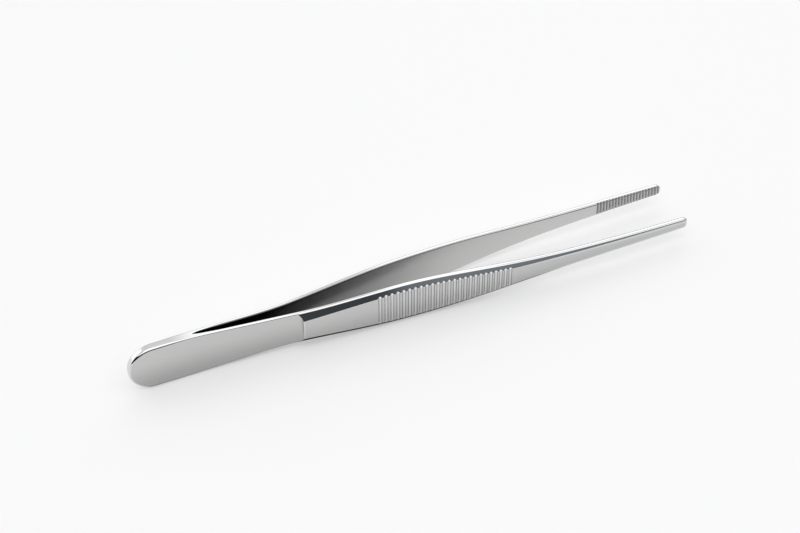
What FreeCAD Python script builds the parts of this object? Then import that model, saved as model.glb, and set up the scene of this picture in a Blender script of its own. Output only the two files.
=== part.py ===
import FreeCAD, Part
import math
import os

# Thumb forceps: two sprung steel arms, welded together face to face at the butt.
# Sizes are in millimetres. Stations along the arm are measured from the butt end; the arms
# are built with their meeting plane at y = 0 and their middle height at z = 0.

# Overall
LENGTH = 145.0
WELD_LENGTH = 16.0           # the inner faces touch from the butt end to here
TIP_GAP = 12.4               # between the jaw faces at the tips, with the spring relaxed

# Side outline, seen square to the flat of the arms
BUTT_WIDTH = 12.4            # the butt ends in a full round of this width
BUTT_STRAIGHT = 9.0          # its sides run straight up to this station
WAIST_AT = 41.5              # narrowest place, where the thick grip begins
WAIST_WIDTH = 9.4
GRIP_AT = 68.0               # widest place of the grip
GRIP_WIDTH = 11.3
NECK_AT = 96.0               # the grip has run out into the slender jaw
NECK_WIDTH = 7.4
NECK_TAPER = 0.195           # width lost per millimetre at the neck
TIP_WIDTH = 2.9              # the tip ends in a full round of this width
TIP_TAPER = 0.052

# Spring set of each arm: gap between the arms and slope of one inner face at each station
WELD_SLOPE = 0.34            # the arms part bluntly behind the weld
CROTCH_AT = 18.0
CROTCH_GAP = 0.84
CROTCH_SLOPE = 0.045
SHANK_GAP = 1.60
SHANK_SLOPE = 0.048
WAIST_GAP = 3.38
WAIST_SLOPE = 0.105
GRIP_GAP = 7.34
GRIP_SLOPE = 0.054
NECK_GAP = 10.88
NECK_SLOPE = 0.040
TIP_SLOPE = 0.0

# Thickness of one arm
BUTT_THICKNESS = 1.2         # up to BUTT_FLAT, then thinning to the shank
BUTT_FLAT = 12.0
SHANK_AT = 28.0
SHANK_THICKNESS = 0.96
STEP_RUN = 1.6               # length of the hollow fillet that steps up to the grip

# Bevelled long edges of grip and jaw: the narrow flat left on the edge, then how far the
# bevel falls back from the outer face and how far it reaches down that face
WAIST_FLAT = 0.88
GRIP_FLAT = 0.96
NECK_FLAT = 1.04
TIP_FLAT = 1.30
WAIST_BEVEL_DEPTH = 1.30
GRIP_BEVEL_DEPTH = 0.94
NECK_BEVEL_DEPTH = 0.78
TIP_BEVEL_DEPTH = 0.30
WAIST_BEVEL_HEIGHT = 1.9
GRIP_BEVEL_HEIGHT = 1.42
NECK_BEVEL_HEIGHT = 1.18
TIP_BEVEL_HEIGHT = 0.70
QUICK = 2.6                  # past waist and neck it narrows at this multiple of its mean slope

# Round-bottomed finger grooves across the outer face of the grip, closing up evenly
GROOVE_START = 61.4
GROOVE_COUNT = 25
GROOVE_PITCH = 1.53          # between the first two
GROOVE_LAST_PITCH = 1.27     # between the last two
GROOVE_RADIUS = 0.50
GROOVE_DEPTH = 0.24

# Cross teeth on the inner face of the jaw, cut so that the two arms mesh
TOOTH_START = 126.5
TOOTH_PITCH = 0.878
TOOTH_COUNT = 21
TOOTH_DEPTH = 0.38
TOOTH_CREST = 0.18           # flat left between two cuts

TIP_ROUND = 1.3              # rounding of the outer face at the tip, seen from above
BEVEL_SECTIONS = 14          # sections that carry the bevel along the arm


def value(line, x):
    """Height at x of a smooth line through stations (x, height, slope), one cubic a span."""
    for (xa, va, sa), (xb, vb, sb) in zip(line, line[1:]):
        if x <= xb:
            break
    span = xb - xa
    t = (x - xa) / span
    return (
        va * (1 + 2 * t) * (1 - t) ** 2
        + sa * span * t * (1 - t) ** 2
        + vb * t ** 2 * (3 - 2 * t)
        - sb * span * t ** 2 * (1 - t)
    )


def slope(line, x):
    """Slope of that line at x."""
    step = 1e-5
    return (value(line, x + step) - value(line, x - step)) / (2 * step)


def stretch(line, start, end):
    """The part of a line between two stations, as a line of its own."""
    inside = [x for x, v, s in line if start < x < end]
    return [(x, value(line, x), slope(line, x)) for x in [start] + inside + [end]]


def stacked(lower, upper):
    """Sum of two lines, station by station, over the stretch that both cover."""
    start = max(lower[0][0], upper[0][0])
    end = min(lower[-1][0], upper[-1][0])
    inside = sorted({x for x, v, s in lower + upper if start < x < end})
    return [
        (x, value(lower, x) + value(upper, x), slope(lower, x) + slope(upper, x))
        for x in [start] + inside + [end]
    ]


def smooth_edge(line, place):
    """The line as one cubic spline edge, where place(x, height) gives each point."""
    poles = [place(line[0][0], line[0][1])]
    for (xa, va, sa), (xb, vb, sb) in zip(line, line[1:]):
        third = (xb - xa) / 3
        poles.append(place(xa + third, va + sa * third))
        poles.append(place(xb - third, vb - sb * third))
    poles.append(place(line[-1][0], line[-1][1]))
    curve = Part.BSplineCurve()
    mults = [4] + [2] * (len(line) - 2) + [4]
    curve.buildFromPolesMultsKnots(poles, mults, [x for x, v, s in line], False, 3)
    return curve.toShape()


def straight(a, b):
    """Straight edge between two points."""
    return Part.LineSegment(a, b).toShape()


def arc(a, middle, b):
    """Round edge through three points."""
    return Part.Arc(a, middle, b).toShape()


def plan(x, y):
    """Point of the view from above."""
    return FreeCAD.Vector(x, y, 0)


def side(x, z):
    """Point of the view square to the flat of the arm."""
    return FreeCAD.Vector(x, 0, z)


# Inner face of the arm, from the weld to the tip
INNER = [
    (WELD_LENGTH, 0.0, WELD_SLOPE),
    (CROTCH_AT, CROTCH_GAP / 2, CROTCH_SLOPE),
    (SHANK_AT, SHANK_GAP / 2, SHANK_SLOPE),
    (WAIST_AT, WAIST_GAP / 2, WAIST_SLOPE),
    (GRIP_AT, GRIP_GAP / 2, GRIP_SLOPE),
    (NECK_AT, NECK_GAP / 2, NECK_SLOPE),
    (LENGTH, TIP_GAP / 2, TIP_SLOPE),
]

# Half width of the side outline between its two round ends
TIP_RADIUS = TIP_WIDTH / 2
HALF_WIDTH = [
    (BUTT_STRAIGHT, BUTT_WIDTH / 2, 0.0),
    (WAIST_AT, WAIST_WIDTH / 2, 0.0),
    (GRIP_AT, GRIP_WIDTH / 2, 0.0),
    (NECK_AT, NECK_WIDTH / 2, -NECK_TAPER / 2),
    (LENGTH - TIP_RADIUS, TIP_RADIUS, -TIP_TAPER / 2),
]


def along_blade(waist, grip, neck, tip, leaving_waist=0.0, leaving_neck=0.0):
    """A size of the grip and jaw, as a line through its four stations."""
    return [
        (WAIST_AT, waist, leaving_waist),
        (GRIP_AT, grip, 0.0),
        (NECK_AT, neck, leaving_neck),
        (LENGTH, tip, 0.0),
    ]


def mean_slope(start, end, a, b):
    """Slope of the straight line between two stations."""
    return (b - a) / (end - start)


FLAT = along_blade(WAIST_FLAT, GRIP_FLAT, NECK_FLAT, TIP_FLAT)
BEVEL_DEPTH = along_blade(
    WAIST_BEVEL_DEPTH, GRIP_BEVEL_DEPTH, NECK_BEVEL_DEPTH, TIP_BEVEL_DEPTH,
    QUICK * mean_slope(WAIST_AT, GRIP_AT, WAIST_BEVEL_DEPTH, GRIP_BEVEL_DEPTH),
    QUICK * mean_slope(NECK_AT, LENGTH, NECK_BEVEL_DEPTH, TIP_BEVEL_DEPTH),
)
BEVEL_HEIGHT = along_blade(
    WAIST_BEVEL_HEIGHT, GRIP_BEVEL_HEIGHT, NECK_BEVEL_HEIGHT, TIP_BEVEL_HEIGHT,
    QUICK * mean_slope(WAIST_AT, GRIP_AT, WAIST_BEVEL_HEIGHT, GRIP_BEVEL_HEIGHT),
    QUICK * mean_slope(NECK_AT, LENGTH, NECK_BEVEL_HEIGHT, TIP_BEVEL_HEIGHT),
)
STEP_START = WAIST_AT - STEP_RUN / 2
STEP_END = WAIST_AT + STEP_RUN / 2

# Outer face: of the butt and shank, and of the grip and jaw
SHANK_OUTER = [
    (0.0, BUTT_THICKNESS, 0.0),
    (BUTT_FLAT, BUTT_THICKNESS, 0.0),
    (SHANK_AT, value(INNER, SHANK_AT) + SHANK_THICKNESS, slope(INNER, SHANK_AT)),
    (STEP_START, value(INNER, STEP_START) + SHANK_THICKNESS, slope(INNER, STEP_START)),
]
BLADE_OUTER = stacked(INNER, stacked(FLAT, BEVEL_DEPTH))


def plan_outline():
    """Closed outline of one arm seen from above: bent strip, step, grip and jaw."""
    heel = plan(STEP_START, value(SHANK_OUTER, STEP_START))
    shoulder = plan(STEP_END, value(BLADE_OUTER, STEP_END))
    # the hollow fillet leaves the shank along its slope, so its middle lies at half the angle
    lean = math.atan(slope(INNER, STEP_START))
    chord = shoulder - heel
    turn = math.atan2(chord.y, chord.x) - lean
    reach = chord.Length / (2 * math.cos(turn / 2))
    hollow = heel + plan(reach * math.cos(lean + turn / 2), reach * math.sin(lean + turn / 2))
    # the outer face rounds over into the tip
    tip_start = LENGTH - TIP_ROUND
    tip_outer = value(BLADE_OUTER, tip_start)
    corner = TIP_ROUND * (1 - math.sqrt(0.5))
    edges = [
        straight(plan(0, 0), plan(WELD_LENGTH, 0)),
        smooth_edge(INNER, plan),
        straight(plan(LENGTH, TIP_GAP / 2), plan(LENGTH, tip_outer - TIP_ROUND)),
        arc(
            plan(LENGTH, tip_outer - TIP_ROUND),
            plan(LENGTH - corner, tip_outer - corner),
            plan(tip_start, tip_outer),
        ),
        smooth_edge(stretch(BLADE_OUTER, STEP_END, tip_start), plan),
        arc(shoulder, hollow, heel),
        smooth_edge(SHANK_OUTER, plan),
        straight(plan(0, BUTT_THICKNESS), plan(0, 0)),
    ]
    return Part.Wire(Part.sortEdges(edges)[0])


def side_outline():
    """Closed outline seen square to the flat: round butt, waist, grip, taper, round tip."""
    butt = BUTT_WIDTH / 2
    tip_start = LENGTH - TIP_RADIUS
    edges = [arc(side(butt, -butt), side(0, 0), side(butt, butt))]
    edges.append(arc(side(tip_start, -TIP_RADIUS), side(LENGTH, 0), side(tip_start, TIP_RADIUS)))
    for up in (1, -1):
        edges.append(straight(side(butt, up * butt), side(BUTT_STRAIGHT, up * butt)))
        edges.append(smooth_edge(HALF_WIDTH, lambda x, h: side(x, up * h)))
    return Part.Wire(Part.sortEdges(edges)[0])


def arm_blank():
    """The strip cut to both outlines."""
    width = 2 * BUTT_WIDTH
    height = Part.Face(plan_outline()).extrude(FreeCAD.Vector(0, 0, width))
    height.translate(FreeCAD.Vector(0, 0, -width / 2))
    depth = Part.Face(side_outline()).extrude(FreeCAD.Vector(0, 2 * TIP_GAP, 0))
    depth.translate(FreeCAD.Vector(0, -TIP_GAP / 2, 0))
    return height.common(depth)


def bevel_cutter():
    """What the grinder takes off one long edge: a three-sided bar laid along the bevel."""
    start = STEP_START - STEP_RUN / 2
    end = LENGTH + TIP_ROUND
    sections = []
    for i in range(BEVEL_SECTIONS + 1):
        x = start + (end - start) * i / BEVEL_SECTIONS
        on_line = min(max(x, WAIST_AT), LENGTH)
        flat = value(INNER, x if x < WAIST_AT else on_line) + value(FLAT, on_line)
        depth = value(BEVEL_DEPTH, on_line)
        height = value(BEVEL_HEIGHT, on_line)
        top = value(HALF_WIDTH, min(x, LENGTH - TIP_RADIUS))
        above = FreeCAD.Vector(x, flat - depth, top + height)
        beyond = FreeCAD.Vector(x, flat + 2 * depth, top - 2 * height)
        outside = FreeCAD.Vector(x, flat + 2 * depth, top + height)
        sections.append(Part.makePolygon([above, beyond, outside, above]))
    return Part.makeLoft(sections, True)


def groove_cutters():
    """Round bars across the outer face of the grip."""
    closing = (GROOVE_LAST_PITCH - GROOVE_PITCH) / (GROOVE_COUNT - 2)
    cutters = []
    for i in range(GROOVE_COUNT):
        x = GROOVE_START + i * GROOVE_PITCH + i * (i - 1) / 2 * closing
        y = value(BLADE_OUTER, x) - GROOVE_DEPTH + GROOVE_RADIUS
        base = FreeCAD.Vector(x, y, -GRIP_WIDTH)
        cutters.append(Part.makeCylinder(GROOVE_RADIUS, 2 * GRIP_WIDTH, base))
    return cutters


def tooth_cutters(shift):
    """Three-sided bars across the inner face of the jaw, shifted along it."""
    half = (TOOTH_PITCH - TOOTH_CREST) / 2
    cutters = []
    for i in range(TOOTH_COUNT):
        x = TOOTH_START + shift + i * TOOTH_PITCH
        if x + half > LENGTH:
            break
        y = value(INNER, x)
        # the bar's sides keep their slope in front of the face, clear of its curve
        corners = [plan(x, y + TOOTH_DEPTH), plan(x - 2 * half, y - TOOTH_DEPTH)]
        corners.append(plan(x + 2 * half, y - TOOTH_DEPTH))
        bar = Part.Face(Part.makePolygon(corners + corners[:1]))
        bar.translate(FreeCAD.Vector(0, 0, -GRIP_WIDTH))
        cutters.append(bar.extrude(FreeCAD.Vector(0, 0, 2 * GRIP_WIDTH)))
    return cutters


def arm(tooth_shift):
    """One whole arm, on the +Y side of the meeting plane."""
    body = arm_blank()
    upper = bevel_cutter()
    lower = upper.mirror(FreeCAD.Vector(0, 0, 0), FreeCAD.Vector(0, 0, 1))
    for cutter in (upper, lower):
        body = body.cut(cutter)
    body = body.cut(Part.makeCompound(groove_cutters()))
    body = body.cut(Part.makeCompound(tooth_cutters(tooth_shift)))
    return body


def placed(body):
    """Moves an arm to the middle of the length, with the butt's lower edge at z = 0."""
    body.translate(FreeCAD.Vector(-LENGTH / 2, 0, BUTT_WIDTH / 2))
    return body


left_arm = placed(arm(0.0))
right_arm = placed(arm(TOOTH_PITCH / 2).mirror(FreeCAD.Vector(0, 0, 0), FreeCAD.Vector(0, 1, 0)))

os.makedirs("parts", exist_ok=True)
for name, shape in (("left_arm", left_arm), ("right_arm", right_arm)):
    solid = shape.Solids[0]
    print(name, len(shape.Solids), "solid, valid", shape.isValid(), "volume", round(shape.Volume, 1))
    solid.exportStep("parts/" + name + ".step")
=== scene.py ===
import math

import bmesh
import bpy
import numpy as np
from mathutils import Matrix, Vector


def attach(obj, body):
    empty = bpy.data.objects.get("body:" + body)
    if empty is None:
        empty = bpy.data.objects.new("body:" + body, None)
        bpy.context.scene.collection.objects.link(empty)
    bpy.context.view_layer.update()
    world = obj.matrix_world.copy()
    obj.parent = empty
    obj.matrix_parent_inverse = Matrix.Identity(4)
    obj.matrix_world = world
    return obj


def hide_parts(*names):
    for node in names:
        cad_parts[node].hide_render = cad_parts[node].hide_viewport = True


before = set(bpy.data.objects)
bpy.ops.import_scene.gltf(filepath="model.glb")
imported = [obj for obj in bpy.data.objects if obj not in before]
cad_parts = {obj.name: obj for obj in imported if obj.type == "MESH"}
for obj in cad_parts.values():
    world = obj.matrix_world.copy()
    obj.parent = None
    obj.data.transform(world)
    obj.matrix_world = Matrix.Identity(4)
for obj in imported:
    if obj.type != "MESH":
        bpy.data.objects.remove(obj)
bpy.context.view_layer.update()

# Thumb forceps: two sprung steel arms welded at the butt. Sizes are in millimetres and stations
# along the arm are measured from the butt end. MM turns them into metres, half the length along X
# puts the middle at zero, and the butt's radius up Z lays the long edge on the floor.
MM = 0.001
LENGTH = 145.0
BUTT_RADIUS = 6.2
BUTT_STRAIGHT = 9.0          # where the widest part ends
TIP_RADIUS = 1.45            # of the tip's outline
TIP_ROUND = 1.3              # of the tip's outer face, seen along the width
WELD_LENGTH = 16.0
WAIST_AT, GRIP_AT, NECK_AT = 41.5, 68.0, 96.0

# Smooth lines through stations (station, height, slope)
INNER = [
    (WELD_LENGTH, 0.0, 0.34),
    (18.0, 0.42, 0.045),
    (28.0, 0.80, 0.048),
    (WAIST_AT, 1.69, 0.105),
    (GRIP_AT, 3.67, 0.054),
    (NECK_AT, 5.44, 0.040),
    (LENGTH, 6.2, 0.0),
]
HALF_WIDTH = [
    (BUTT_STRAIGHT, BUTT_RADIUS, 0.0),
    (WAIST_AT, 4.7, 0.0),
    (GRIP_AT, 5.65, 0.0),
    (NECK_AT, 3.7, -0.0975),
    (LENGTH - TIP_RADIUS, TIP_RADIUS, -0.026),
]
EDGE_FLAT = [(WAIST_AT, 0.88, 0.0), (GRIP_AT, 0.96, 0.0), (NECK_AT, 1.04, 0.0), (LENGTH, 1.30, 0.0)]
# A bevel narrows fast at first: its slope there is FAST_START mean slopes of the span
FAST_START = 2.6
BEVEL_DEPTH = [
    (WAIST_AT, 1.30, FAST_START * (0.94 - 1.30) / (GRIP_AT - WAIST_AT)),
    (GRIP_AT, 0.94, 0.0),
    (NECK_AT, 0.78, FAST_START * (0.30 - 0.78) / (LENGTH - NECK_AT)),
    (LENGTH, 0.30, 0.0),
]
BEVEL_HEIGHT = [
    (WAIST_AT, 1.9, FAST_START * (1.42 - 1.9) / (GRIP_AT - WAIST_AT)),
    (GRIP_AT, 1.42, 0.0),
    (NECK_AT, 1.18, FAST_START * (0.70 - 1.18) / (LENGTH - NECK_AT)),
    (LENGTH, 0.70, 0.0),
]
BUTT_THICKNESS, BUTT_FLAT = 1.2, 12.0
SHANK_THICKNESS, SHANK_AT = 0.96, 28.0
STEP_START, STEP_END = 40.7, 42.3
STEP_SHOULDER = 0.25         # softness of the shoulder where the step meets the blade
BEVEL_START = 41.4           # where the finish changes from the shank's to the bevel's

GROOVE_START, GROOVE_COUNT = 61.4, 25
GROOVE_PITCH, GROOVE_LAST_PITCH = 1.53, 1.27
GROOVE_RADIUS, GROOVE_DEPTH, GROOVE_LIP = 0.50, 0.24, 0.15
GROOVE_MOUTH = math.sqrt(GROOVE_RADIUS**2 - (GROOVE_RADIUS - GROOVE_DEPTH) ** 2)
GROOVE_POLISH_AND_HIGHLIGHT = 0.25          # half width of the polished line along each groove's bottom, brighter also as a painted highlight
TOOTH_START, TOOTH_PITCH, TOOTH_COUNT = 126.5, 0.878, 21
TOOTH_DEPTH, TOOTH_CREST = 0.38, 0.18

# How far each edge's rounding reaches back from its corner. A pair of stations says over which
# stretch a value changes into the next.
BUTT_EDGE, OUTER_EDGE, BUTT_EDGE_RUN = 0.72, 0.36, (7.0, 16.0)
BEVEL_EDGE, JAW_EDGE, JAW_RUN = 0.28, 0.32, (88.0, 112.0)
RIDGE_EDGE, JAW_RIDGE_EXTRA = 0.08, 0.17
INNER_EDGE, JAW_INNER_EXTRA, CROTCH_RUN = 0.34, 0.12, 8.0
SEAM_EDGE = 0.002            # along the weld, where the arms meet in a line
# Where no bevel is ground, the ridge lies on the flat face, so far in from its edge
BUTT_RIDGE_DROP, SHANK_RIDGE_DROP, RIDGE_DROP_RUN = 1.7, 0.8, (9.0, 20.0)
BEVEL_SHOWS = (0.15, 0.5)    # heights between which the bevel takes over from that flat edge

# Points across the half section: along the flats, then round the ridge and the two edges
FACE_POINTS, BEVEL_POINTS, WALL_POINTS, INNER_FACE_POINTS = 6, 2, 2, 12
RIDGE_POINTS, EDGE_POINTS, INNER_POINTS = 5, 8, 5
FAN_RAYS = 40                # round the butt, and again round the tip
# Rings along the plain parts of the arm: from, to, how many
PLAIN_RINGS = [
    (BUTT_RADIUS, WELD_LENGTH, 26),
    (WELD_LENGTH, 39.8, 70),
    (39.8, 43.4, 64),
    (43.4, 60.6, 50),
    (NECK_AT, TOOTH_START - 0.5, 80),
]
MERGE_DISTANCE = 2e-7        # in metres: joins the points that rays share on the middle line
SHARP_ANGLE = 38.0           # degrees between two faces, from which their line stays sharp

# Shares of full colour, painted light and shade: painted shade on the inner faces near the weld,
# on the lower part of the outer faces and on the lower edges and bevels, and a painted highlight
# on the ends of the grooves and on the tip
# Painted shade on the inner faces in the narrow gap near the weld
CROTCH_PAINTED_SHADE, CROTCH_DARK, CROTCH_CLEAR = 0.28, 34.0, 90.0
# Painted shade: the outer face darker towards its lower side
LOWER_FACE_PAINTED_SHADE, LOWER_FACE = 0.72, (-3.0, 5.5)
# Painted shade on the lower edges and bevels, where rays point down
LOWER_EDGE_PAINTED_SHADE, LOWER_END = 0.10, (98.0, 112.0)
UPRIGHT_RAYS = (0.90, 0.99)  # sines between which a ray comes to count as straight up or down
# Painted highlight at the ends of the grooves on the upper ridge and on the cap of the tip
PAINTED_HIGHLIGHT, GROOVE_END = 1.38, (0.2, 0.4)
TIP_CAP, TIP_POLISH_AND_HIGHLIGHT = 0.55, 0.7          # lengths of the tip with a painted highlight in its colour, and polished with a painted highlight
SHOULDER_MIDDLE, SHOULDER_HIGHLIGHT = 42.45, 0.2     # painted highlight along the step's shoulder, drawn as a polished line
SATIN, POLISHED, INSIDE, CUT_PAINTED_SHADE = range(4)  # places of the four finishes on an arm; the cut finish's dark colour is painted shade

SHEET_WHITE = 0.38           # share of plain white in the floor, to the camera and in the steel
BUTT_REST, GRIP_REST = 7.6, 67.0         # stations where butt and grip touch the floor


def along(line, x):
    """Height at x of a line through stations (x, height, slope). With t the share of the span L
    between stations a and b, it is the cubic a(1+2t)(1-t)^2 + a' L t(1-t)^2 + b t^2(3-2t)
    - b' L t^2(1-t). Past its ends the line keeps its last height."""
    stations, heights, slopes = np.array(line).T
    x = np.clip(x, stations[0], stations[-1])
    i = np.clip(np.searchsorted(stations, x, side="left") - 1, 0, len(stations) - 2)
    span = stations[i + 1] - stations[i]
    t = (x - stations[i]) / span
    return (
        heights[i] * (1 + 2 * t) * (1 - t) ** 2
        + slopes[i] * span * t * (1 - t) ** 2
        + heights[i + 1] * t**2 * (3 - 2 * t)
        - slopes[i + 1] * span * t**2 * (1 - t)
    )


def slope_of(line, x):
    """Slope of that line at x, from the heights a hundredth of a millimetre either side."""
    return (along(line, x + 0.01) - along(line, x - 0.01)) / 0.02


def eased(value, low, high):
    """0 below low, 1 above high, and t^2(3-2t) between them."""
    t = np.clip((value - low) / (high - low), 0, 1)
    return t * t * (3 - 2 * t)


def changed(one, other, share):
    """From one value to the other as the share goes from 0 to 1."""
    return one + (other - one) * share


SHANK_OUTER = [
    (0.0, BUTT_THICKNESS, 0.0),
    (BUTT_FLAT, BUTT_THICKNESS, 0.0),
    (SHANK_AT, float(along(INNER, SHANK_AT)) + SHANK_THICKNESS, float(slope_of(INNER, SHANK_AT))),
    (STEP_START, float(along(INNER, STEP_START)) + SHANK_THICKNESS, float(slope_of(INNER, STEP_START))),
]


def blade_outer(x):
    """Outer face of grip and jaw: inner face plus edge flat plus bevel depth."""
    return along(INNER, x) + along(EDGE_FLAT, x) + along(BEVEL_DEPTH, x)


def rounded_lower(a, b, softness):
    """The lower of two heights, with their crossing rounded: the mean of both weighted by
    h = 1/2 + (b - a) / (2 softness), less softness h (1 - h)."""
    h = np.clip(0.5 + (b - a) / (2 * softness), 0, 1)
    return b * (1 - h) + a * h - softness * h * (1 - h)


def step_arc(x):
    """Hollow arc of the step: it leaves the shank along its slope and passes through the
    shoulder. With c the chord and q the angle between it and the slope, its radius is
    c / (2 sin q) and its centre stands square to the slope, out from the shank."""
    foot = float(along(SHANK_OUTER, STEP_START))
    rise = float(blade_outer(STEP_END)) - foot
    run = STEP_END - STEP_START
    lean = math.atan(float(slope_of(INNER, STEP_START)))
    radius = math.hypot(run, rise) / (2 * math.sin(math.atan2(rise, run) - lean))
    middle = STEP_START - radius * math.sin(lean)
    height = foot + radius * math.cos(lean)
    arc = height - np.sqrt(np.maximum(radius**2 - (x - middle) ** 2, 0))
    return np.where(x < middle + 0.999 * radius, arc, height)


def smooth_face(x):
    """Outer face without its grooves: the shank, then the step's hollow arc, then the blade,
    where arc and blade cross in a rounded shoulder."""
    step = rounded_lower(step_arc(x), blade_outer(x), STEP_SHOULDER)
    past = np.where(x < STEP_END + 1, step, blade_outer(x))
    return np.where(x < STEP_START, along(SHANK_OUTER, x), past)


def groove_middle(i):
    """Station of groove i, counted from 0: the spacing changes evenly from the first pitch to
    the last, so it is start + i first + i (i - 1) / 2 times the change."""
    change = (GROOVE_LAST_PITCH - GROOVE_PITCH) / (GROOVE_COUNT - 2)
    return GROOVE_START + i * GROOVE_PITCH + i * (i - 1) / 2 * change


def nearest_groove(x):
    """Station of the groove that lies nearest to each x."""
    grooves = groove_middle(np.arange(GROOVE_COUNT))
    borders = (grooves[1:] + grooves[:-1]) / 2
    return grooves[np.searchsorted(borders, x)]


def grooved_face(x):
    """Outer face with its finger grooves: round bottoms, each the circle of the cutter, and a
    lip where a groove meets the land, a circle of radius GROOVE_LIP up to 0.9 of its radius."""
    middle = nearest_groove(x)
    off = np.abs(x - middle)
    face = smooth_face(x)
    floor = smooth_face(middle) - GROOVE_DEPTH + GROOVE_RADIUS
    fall = np.sqrt(np.maximum(GROOVE_RADIUS**2 - off**2, 0))
    circle = np.where(off < GROOVE_RADIUS, floor - fall, np.inf)
    near = np.clip(1 - (off - GROOVE_MOUTH) / GROOVE_LIP, 0, 1)
    land = face - GROOVE_LIP * (1 - np.sqrt(1 - (0.9 * near) ** 2))
    return np.minimum(circle, land)


def tooth_cut(x, shift):
    """Depth cut into the jaw face at x: V cuts a pitch apart with a flat crest between them."""
    half = (TOOTH_PITCH - TOOTH_CREST) / 2
    i = np.clip(np.round((x - TOOTH_START - shift) / TOOTH_PITCH), 0, TOOTH_COUNT - 1)
    middle = TOOTH_START + shift + i * TOOTH_PITCH
    depth = TOOTH_DEPTH * np.clip(1 - np.abs(x - middle) / half, 0, 1)
    return np.where(middle + half > LENGTH, 0.0, depth)


def long_stations(shift):
    """Stations of the rings along the arm, closer at the step, in each groove and at each
    tooth, where they fall on the lines of the cut."""
    mouth = math.degrees(math.acos(1 - GROOVE_DEPTH / GROOVE_RADIUS))
    angles = np.radians(mouth * np.array([0, 0.2, 0.4, 0.6, 0.75, 0.88, 1]))
    half_groove = np.concatenate([
        GROOVE_RADIUS * np.sin(angles),
        GROOVE_RADIUS * np.sin(angles[-1]) + GROOVE_LIP * np.array([0.15, 0.35, 0.65, 1.0]),
    ])
    in_groove = np.concatenate([-half_groove, half_groove])
    half = (TOOTH_PITCH - TOOTH_CREST) / 2
    in_tooth = np.array([-half - 0.02, -half, -half / 2, 0.0, half / 2, half, half + 0.02])
    grooves = groove_middle(np.arange(GROOVE_COUNT))
    teeth = TOOTH_START + shift + np.arange(TOOTH_COUNT) * TOOTH_PITCH
    x = np.concatenate([
        *(np.linspace(*span) for span in PLAIN_RINGS),
        (grooves[:, None] + in_groove).ravel(),
        (teeth[:, None] + in_tooth).ravel(),
        [LENGTH - TIP_RADIUS],
    ])
    x = np.unique(np.round(x[(x >= BUTT_RADIUS) & (x <= LENGTH - TIP_RADIUS)], 4))
    return x[np.concatenate([[True], np.diff(x) > 0.004])]


def turned_corner(before, corner, after, reach, count):
    """A round corner: the arc that leaves one side and joins the other at the reach, as the
    weighted mean of (1-t)^2 a, 2t(1-t)w corner and t^2 b, with w the cosine of half the turn.
    The reach stays under 0.45 of the side before and 0.62 of the side after."""
    back, on = before - corner, after - corner
    back_length = np.linalg.norm(back, axis=-1, keepdims=True)
    on_length = np.linalg.norm(on, axis=-1, keepdims=True)
    reach = np.minimum(reach[:, None], np.minimum(0.45 * back_length, 0.62 * on_length))
    a = corner + back / np.maximum(back_length, 1e-9) * reach
    b = corner + on / np.maximum(on_length, 1e-9) * reach
    along_in = -back / np.maximum(back_length, 1e-9)
    along_out = on / np.maximum(on_length, 1e-9)
    weight = np.sqrt(np.clip((1 + (along_in * along_out).sum(-1, keepdims=True)) / 2, 0, 1))
    t = np.linspace(0, 1, count)[None, :, None]
    a, b, corner = a[:, None], b[:, None], corner[:, None]
    w = weight[:, None]
    return ((1 - t) ** 2 * a + 2 * t * (1 - t) * w * corner + t**2 * b) / (
        (1 - t) ** 2 + 2 * t * (1 - t) * w + t**2
    )


def between(a, b, count):
    """Points spaced evenly inside the line from a to b, without its ends."""
    t = np.linspace(0, 1, count + 2)[1:-1][None, :, None]
    return a[:, None] * (1 - t) + b[:, None] * t


def half_section(x):
    """Half of the cross-section at each station x, from the middle of the outer face over the
    ridge, bevel and edge flat to the middle of the inner face. Columns are the distance from
    the middle height and the distance from the meeting plane. On the shank, where the bevel
    has no depth, the ridge lies on the flat face and the edge is one rounded corner."""
    zero = np.zeros_like(x)
    half = np.where(x < BUTT_STRAIGHT, BUTT_RADIUS, along(HALF_WIDTH, x))
    inner = np.where(x < WELD_LENGTH, 0.0, along(INNER, x))
    outer = grooved_face(x)
    full_depth, full_height = along(BEVEL_DEPTH, x), along(BEVEL_HEIGHT, x)
    depth = np.maximum(outer - inner - along(EDGE_FLAT, x), 0.0)
    depth = np.where(x < STEP_START, 0.0, depth)
    height = full_height * depth / full_depth
    bevelled = eased(height, *BEVEL_SHOWS)
    flat_drop = changed(BUTT_RIDGE_DROP, SHANK_RIDGE_DROP, eased(x, *RIDGE_DROP_RUN))
    ridge_drop = np.maximum(height, flat_drop * (1 - bevelled))
    middle_out = np.stack([zero, outer], 1)
    ridge = np.stack([half - ridge_drop, outer], 1)
    edge = np.stack([half, outer - depth * bevelled], 1)
    inner_edge = np.stack([half, inner], 1)
    middle_in = np.stack([zero, inner], 1)
    opened = eased(x, WELD_LENGTH, WELD_LENGTH + CROTCH_RUN)
    jaw = eased(x, *JAW_RUN)
    edge_reach = changed(BUTT_EDGE, OUTER_EDGE, eased(x, *BUTT_EDGE_RUN))
    edge_reach = edge_reach + (BEVEL_EDGE - OUTER_EDGE) * bevelled + (JAW_EDGE - BEVEL_EDGE) * jaw
    inner_reach = (INNER_EDGE + JAW_INNER_EXTRA * jaw) * opened + SEAM_EDGE
    a = turned_corner(middle_out, ridge, edge, RIDGE_EDGE + JAW_RIDGE_EXTRA * jaw, RIDGE_POINTS)
    b = turned_corner(ridge, edge, inner_edge, edge_reach, EDGE_POINTS)
    c = turned_corner(edge, inner_edge, middle_in, inner_reach, INNER_POINTS)
    rows = [
        middle_out[:, None],
        between(middle_out, a[:, 0], FACE_POINTS),
        a,
        between(a[:, -1], b[:, 0], BEVEL_POINTS),
        b,
        between(b[:, -1], c[:, 0], WALL_POINTS),
        c,
        between(c[:, -1], middle_in, INNER_FACE_POINTS),
        middle_in[:, None],
    ]
    return np.concatenate(rows, 1)


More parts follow.
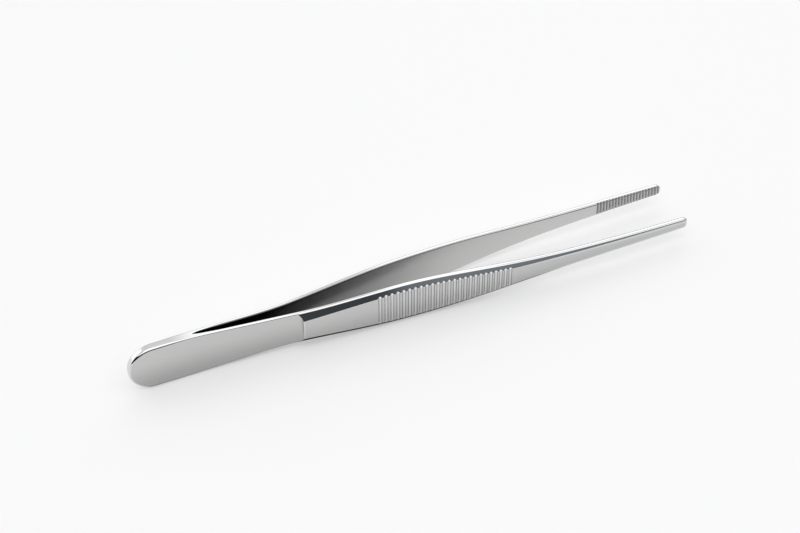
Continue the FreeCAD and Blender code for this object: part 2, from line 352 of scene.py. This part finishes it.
def painted_light(px, pz, up, row, ridge_at, edge_at, inside):
    """Share of full colour at each point, which paints light and shade, with up the sine of its
    ray's angle. Inside, it is 1 along the weld, CROTCH_PAINTED_SHADE from there to CROTCH_DARK,
    a painted shade in the narrow gap, 1 again from CROTCH_CLEAR on, and PAINTED_HIGHLIGHT on the
    cap of the tip. Outside, three shares are multiplied: the face falls to
    LOWER_FACE_PAINTED_SHADE, a painted shade, towards its lower side; the lower edge and bevel,
    where the ray points down, have LOWER_EDGE_PAINTED_SHADE, a painted shade, ending over
    LOWER_END; and the upper ridge has PAINTED_HIGHLIGHT, a painted highlight, where a groove ends."""
    crotch_shade = changed(CROTCH_PAINTED_SHADE, 1, eased(px, CROTCH_DARK, CROTCH_CLEAR))
    crotch_shade = np.where(px > WELD_LENGTH, crotch_shade, 1.0)
    crotch_shade = np.where(px > LENGTH - TIP_CAP, PAINTED_HIGHLIGHT, crotch_shade)
    edge_row = np.where(px < BEVEL_START, edge_at + 2, ridge_at + RIDGE_POINTS - 1)
    lower_edge_shade = (row >= edge_row) * eased(-up, *UPRIGHT_RAYS) * (1 - eased(px, *LOWER_END))
    lower_face_shade = (row < edge_row) * eased(-pz, *LOWER_FACE)
    on_ridge = (row >= ridge_at) & (row < ridge_at + RIDGE_POINTS) & (up > UPRIGHT_RAYS[0])
    groove_end_highlight = on_ridge * (1 - eased(np.abs(px - nearest_groove(px)), *GROOVE_END))
    outside = changed(1, LOWER_FACE_PAINTED_SHADE, lower_face_shade) * changed(1, LOWER_EDGE_PAINTED_SHADE, lower_edge_shade)
    return np.where(inside, crotch_shade, outside * changed(1, PAINTED_HIGHLIGHT, groove_end_highlight))


def finishes(station, row, ridge_at, edge_at, inner_at, shift):
    """Finish of each quad, by its mean station and its row. Outside, the face is satin; the step's
    shoulder and the bottom line of each groove are polished, and brighter there as a painted
    highlight; and the groove's sides are rougher cut faces whose dark colour is painted shade.
    From the ridge on, or the rounded edge on the shank, all is polished. Inside, the teeth are
    cut faces with painted shade, and the end of the tip is polished, brighter as a painted highlight."""
    off = np.abs(station - nearest_groove(station))
    bright = (off < GROOVE_POLISH_AND_HIGHLIGHT) | (np.abs(station - SHOULDER_MIDDLE) < SHOULDER_HIGHLIGHT)
    face = np.where(off < GROOVE_MOUTH + 0.5 * GROOVE_LIP, CUT_PAINTED_SHADE, SATIN)
    face = np.where(bright, POLISHED, face)
    polish_at = np.where(station < BEVEL_START, edge_at + 2, ridge_at)
    inside = np.where(station > LENGTH - TIP_POLISH_AND_HIGHLIGHT, POLISHED, INSIDE)
    inside = np.where(tooth_cut(station, shift) > 0.02, CUT_PAINTED_SHADE, inside)
    return np.where(row >= inner_at, inside, np.where(row >= polish_at, POLISHED, face))


def arm_mesh(name, side, shift):
    """One arm as rays that leave its middle line for its outline, each carrying the half
    section. Along the two long sides the rays stand square to the length at every station; at
    the butt and the tip they fan round the centre of the round end. Each point is at
    centre + n (cos a, sin a) with n its distance from the middle, and at its own distance y
    from the meeting plane, mirrored by side. Teeth and the rounding of the tip move y by the
    point's own station; over the inner edge's rounding the teeth ease in from nothing."""
    x = long_stations(shift)
    sweep = np.linspace(math.pi / 2, -math.pi / 2, FAN_RAYS + 2)[1:-1]
    centres = np.concatenate([x, np.full(FAN_RAYS, x[-1]), x[::-1], np.full(FAN_RAYS, x[0])])
    up, down = np.full(len(x), math.pi / 2), np.full(len(x), -math.pi / 2)
    angles = np.concatenate([up, sweep, down, sweep - math.pi])
    section = half_section(centres)
    n, y = section[..., 0], section[..., 1]
    px = centres[:, None] + n * np.cos(angles)[:, None]
    pz = n * np.sin(angles)[:, None]
    inner = np.where(centres < WELD_LENGTH, 0.0, along(INNER, centres))[:, None]
    count = n.shape[1]
    rows = np.arange(count)[None]
    ridge_at = 1 + FACE_POINTS
    edge_at = ridge_at + RIDGE_POINTS + BEVEL_POINTS
    inner_at = count - 1 - INNER_FACE_POINTS - INNER_POINTS
    y = y + tooth_cut(px, shift) * eased(rows, inner_at, inner_at + INNER_POINTS - 1)
    past = np.clip(px - (LENGTH - TIP_ROUND), 0, TIP_ROUND)
    thickness = float(blade_outer(LENGTH) - along(INNER, LENGTH))
    left = thickness - TIP_ROUND + np.sqrt(TIP_ROUND**2 - past**2)
    y = inner + (y - inner) * left / thickness
    co = np.stack([px - LENGTH / 2, side * y, pz + BUTT_RADIUS], -1) * MM
    rays = len(centres)
    index = np.arange(rays * count).reshape(rays, count)
    after = np.roll(index, -1, axis=0)
    quads = np.stack([index[:, :-1], index[:, 1:], after[:, 1:], after[:, :-1]], -1).reshape(-1, 4)
    station = (px[:, :-1] + px[:, 1:]) / 2
    station = (station + np.roll(station, -1, axis=0)) / 2
    finish = finishes(station, rows[:, :-1], ridge_at, edge_at, inner_at, shift)
    mesh = bpy.data.meshes.new(name)
    mesh.from_pydata(co.reshape(-1, 3), [], quads)
    for material in (satin_steel, polished_steel, inner_steel, cut_steel_painted_shade):
        mesh.materials.append(material)
    mesh.polygons.foreach_set("material_index", finish.astype(np.int32).ravel())
    # Painted shade and painted highlights, as a share of full colour on each point
    share = painted_light(px, pz, np.sin(angles)[:, None], rows, ridge_at, edge_at, rows > inner_at)
    share_data = mesh.attributes.new("painted_light", "FLOAT", "POINT").data
    share_data.foreach_set("value", share.astype(np.float32).ravel())
    bm = bmesh.new()
    bm.from_mesh(mesh)
    bmesh.ops.remove_doubles(bm, verts=bm.verts, dist=MERGE_DISTANCE)
    bmesh.ops.recalc_face_normals(bm, faces=bm.faces)
    bm.to_mesh(mesh)
    bm.free()
    mesh.shade_smooth()
    mesh.set_sharp_from_angle(angle=math.radians(SHARP_ANGLE))
    arm = bpy.data.objects.new(name, mesh)
    bpy.context.scene.collection.objects.link(arm)
    return arm


# Noise cells in a metre: of the grinding lines along X, Y and Z, and of the slow changes of gloss
GRAIN_CELLS, CLOUD_CELLS = (700, 9000, 9000), 260.0
GRAIN_HEIGHT = 0.00002


def steel(name, colour, roughness, grain, marks):
    """Bare stainless steel. Fine lines run along the arm: noise stretched along X gives a little
    bump and lightness, and a rounder, larger noise gives slow changes of gloss. The colour is
    multiplied by the mesh's share of painted shade and painted highlights, and so is its tint at
    grazing angles, up to 1, so that the painted shade stays dark there too."""
    material = bpy.data.materials.new(name)
    material.use_nodes = True
    nodes, links = material.node_tree.nodes, material.node_tree.links
    shader = nodes["Principled BSDF"]
    shader.inputs["Metallic"].default_value = 1.0
    place = nodes.new("ShaderNodeTexCoord")
    stretch = nodes.new("ShaderNodeMapping")
    stretch.inputs["Scale"].default_value = GRAIN_CELLS
    links.new(place.outputs["Object"], stretch.inputs["Vector"])
    lines = nodes.new("ShaderNodeTexNoise")
    lines.inputs["Scale"].default_value = 1.0
    lines.inputs["Detail"].default_value = 3.0
    links.new(stretch.outputs["Vector"], lines.inputs["Vector"])
    cloud = nodes.new("ShaderNodeTexNoise")
    cloud.inputs["Scale"].default_value = CLOUD_CELLS
    cloud.inputs["Detail"].default_value = 4.0
    links.new(place.outputs["Object"], cloud.inputs["Vector"])
    shade = nodes.new("ShaderNodeMix")
    shade.data_type = "RGBA"
    shade.inputs[6].default_value = [c * (1 - marks) for c in colour] + [1]
    shade.inputs[7].default_value = [min(c * (1 + marks), 1) for c in colour] + [1]
    links.new(lines.outputs["Fac"], shade.inputs[0])
    # Colour times the mesh's share of painted shade and painted highlights
    share = nodes.new("ShaderNodeAttribute")
    share.attribute_name = "painted_light"
    painted_light_colour = nodes.new("ShaderNodeVectorMath")
    painted_light_colour.operation = "SCALE"
    links.new(shade.outputs[2], painted_light_colour.inputs[0])
    links.new(share.outputs["Fac"], painted_light_colour.inputs["Scale"])
    links.new(painted_light_colour.outputs[0], shader.inputs["Base Color"])
    # Tint at grazing angles is lowered with the painted shade, so painted dark edges stay dark
    grazing = nodes.new("ShaderNodeMath")
    grazing.operation = "MINIMUM"
    grazing.inputs[1].default_value = 1.0
    links.new(share.outputs["Fac"], grazing.inputs[0])
    links.new(grazing.outputs[0], shader.inputs["Specular Tint"])
    gloss = nodes.new("ShaderNodeMapRange")
    gloss.inputs["From Min"].default_value = 0.3
    gloss.inputs["From Max"].default_value = 0.7
    gloss.inputs["To Min"].default_value = roughness * 0.88
    gloss.inputs["To Max"].default_value = roughness * 1.12
    links.new(cloud.outputs["Fac"], gloss.inputs["Value"])
    links.new(gloss.outputs["Result"], shader.inputs["Roughness"])
    bump = nodes.new("ShaderNodeBump")
    bump.inputs["Strength"].default_value = grain
    bump.inputs["Distance"].default_value = GRAIN_HEIGHT
    links.new(lines.outputs["Fac"], bump.inputs["Height"])
    links.new(bump.outputs["Normal"], shader.inputs["Normal"])
    return material


satin_steel = steel("satin_steel", (0.60, 0.60, 0.595), 0.21, 0.2, 0.05)
polished_steel = steel("polished_steel", (0.69, 0.695, 0.70), 0.08, 0.03, 0.02)
inner_steel = steel("inner_steel", (0.60, 0.60, 0.595), 0.20, 0.15, 0.05)
# Rougher steel for the cut faces of grooves and teeth; its dark colour is painted shade in these
# hollows
cut_steel_painted_shade = steel("cut_steel_painted_shade", (0.36, 0.36, 0.36), 0.28, 0.1, 0.05)

for name, node, side, shift in (
    ("left_arm_steel", "left_arm", 1, 0.0),
    ("right_arm_steel", "right_arm", -1, TOOTH_PITCH / 2),
):
    arm = arm_mesh(name, side, shift)
    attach(arm, "root")
    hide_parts(node)


def floor_sheet():
    """A wide pale sheet on which butt and grip both rest, so it is tilted by half a degree: its
    height is the grip's lift over the way from butt to grip. To the camera and in the steel it
    shows SHEET_WHITE parts of plain white, so its shadows stay light."""
    material = bpy.data.materials.new("white_sheet")
    material.use_nodes = True
    nodes, links = material.node_tree.nodes, material.node_tree.links
    shader = nodes["Principled BSDF"]
    shader.inputs["Base Color"].default_value = (0.93, 0.93, 0.93, 1)
    shader.inputs["Roughness"].default_value = 0.35
    shader.inputs["Specular IOR Level"].default_value = 0.3
    white = nodes.new("ShaderNodeEmission")
    white.inputs["Color"].default_value = (0.98, 0.98, 0.98, 1)
    rays = nodes.new("ShaderNodeLightPath")
    seen = rays.outputs["Is Camera Ray"]
    for kind in ("Is Glossy Ray", "Is Transmission Ray"):
        both = nodes.new("ShaderNodeMath")
        both.operation = "MAXIMUM"
        links.new(seen, both.inputs[0])
        links.new(rays.outputs[kind], both.inputs[1])
        seen = both.outputs[0]
    share = nodes.new("ShaderNodeMath")
    share.operation = "MULTIPLY"
    share.inputs[1].default_value = SHEET_WHITE
    links.new(seen, share.inputs[0])
    mixed = nodes.new("ShaderNodeMixShader")
    links.new(share.outputs[0], mixed.inputs[0])
    links.new(shader.outputs[0], mixed.inputs[1])
    links.new(white.outputs[0], mixed.inputs[2])
    links.new(mixed.outputs[0], nodes["Material Output"].inputs["Surface"])
    reach = 3.0
    butt_x = BUTT_REST - LENGTH / 2
    lift = BUTT_RADIUS - float(along(HALF_WIDTH, np.array(GRIP_REST)))
    tilt = lift / (GRIP_REST - BUTT_REST)
    corners = [(-reach, -reach), (reach, -reach), (reach, reach), (-reach, reach)]
    points = [(x, y, (x - butt_x * MM) * tilt) for x, y in corners]
    mesh = bpy.data.meshes.new("floor_sheet")
    mesh.from_pydata(points, [], [(0, 1, 2, 3)])
    mesh.materials.append(material)
    sheet = bpy.data.objects.new("floor_sheet", mesh)
    bpy.context.scene.collection.objects.link(sheet)


floor_sheet()


def room_light():
    """World light by direction, each layer blended over the ones before. Low in front lies a
    dark room that lightens to the right, and behind a white wall with a greyer patch. The sky
    above is bright in front and dimmer behind. Panes behind and above, and one far to the
    left, give the upper walls and the butt's end their white and grey bands."""
    world = bpy.data.worlds.new("studio")
    bpy.context.scene.world = world
    world.use_nodes = True
    nodes, links = world.node_tree.nodes, world.node_tree.links
    background = nodes["Background"]
    place = nodes.new("ShaderNodeTexCoord")

    def grey(red, green=None, blue=None):
        """A plain grey, or one with a little colour where green and blue are given."""
        return (red, green or red, blue or red, 1)

    def blend(one, other, axis, low, high):
        """From one colour to the other as a direction's share along axis goes low to high."""
        facing = nodes.new("ShaderNodeVectorMath")
        facing.operation = "DOT_PRODUCT"
        facing.inputs[1].default_value = axis
        links.new(place.outputs["Generated"], facing.inputs[0])
        share = nodes.new("ShaderNodeMapRange")
        share.interpolation_type = "SMOOTHSTEP"
        share.inputs["From Min"].default_value = low
        share.inputs["From Max"].default_value = high
        links.new(facing.outputs["Value"], share.inputs["Value"])
        shade = nodes.new("ShaderNodeMix")
        shade.data_type = "RGBA"
        for socket, colour in ((6, one), (7, other)):
            if isinstance(colour, tuple):
                shade.inputs[socket].default_value = colour
            else:
                links.new(colour, shade.inputs[socket])
        links.new(share.outputs["Result"], shade.inputs[0])
        return shade.outputs[2]

    dim = blend(grey(0.004), grey(0.055, 0.06, 0.067), (1, 0, 0), -0.45, 0.0)
    low = blend(grey(0.006), dim, (0, 0, 1), 0.08, 0.24)
    front = blend(low, grey(0.22, 0.235, 0.255), (1, 0, 0), 0.12, 0.26)
    behind = blend(grey(1.0), grey(0.55), (0.297, 0.949, 0.12), 0.93, 0.98)
    around = blend(front, behind, (0, 1, 0), 0.05, 0.35)
    high = blend(grey(1.36), grey(0.40), (0, 1, 0), -0.2, 0.3)
    sky = blend(around, high, (0, 0, 1), 0.50, 0.66)
    pane = blend(sky, grey(0.84), (-0.08, 0.685, 0.724), 0.90, 0.95)
    side = blend(pane, grey(1.4), (-0.72, 0.667, 0.19), 0.80, 0.88)
    panel = blend(grey(0.87), grey(1.55), (1, 0, 0), 0.175, 0.28)
    window = blend(side, panel, (0.3, 0.667, 0.683), 0.92, 0.975)
    links.new(window, background.inputs["Color"])
    background.inputs["Strength"].default_value = 1.0


room_light()


def soft_box(name, place, size, power):
    """A square lamp at place, facing the middle of the forceps."""
    lamp = bpy.data.lights.new(name, "AREA")
    lamp.shape = "SQUARE"
    lamp.size = size
    lamp.energy = power
    holder = bpy.data.objects.new(name, lamp)
    holder.location = place
    holder.rotation_mode = "QUATERNION"
    holder.rotation_quaternion = (-Vector(place)).to_track_quat("-Z", "Y")
    bpy.context.scene.collection.objects.link(holder)


soft_box("overhead_box", (0.0, 0.0, 0.9), 1.0, 1.4)


def camera():
    """The photograph's camera: 43 degrees down, 24 degrees round, 81 mm lens on a 36 mm frame."""
    data = bpy.data.cameras.new("camera")
    data.lens = 81.0
    data.sensor_width = 36.0
    data.clip_start, data.clip_end = 0.01, 20.0
    holder = bpy.data.objects.new("camera", data)
    yaw, pitch = math.radians(23.966), math.radians(43.105)
    look = Vector((math.cos(pitch) * math.sin(yaw), math.cos(pitch) * math.cos(yaw), -math.sin(pitch)))
    target = Vector((2.169, 13.203, 0)) * MM
    holder.location = target - look * 0.45058
    holder.rotation_mode = "QUATERNION"
    holder.rotation_quaternion = look.to_track_quat("-Z", "Y")
    bpy.context.scene.collection.objects.link(holder)
    bpy.context.scene.camera = holder


camera()
bpy.context.scene.view_settings.view_transform = "Standard"
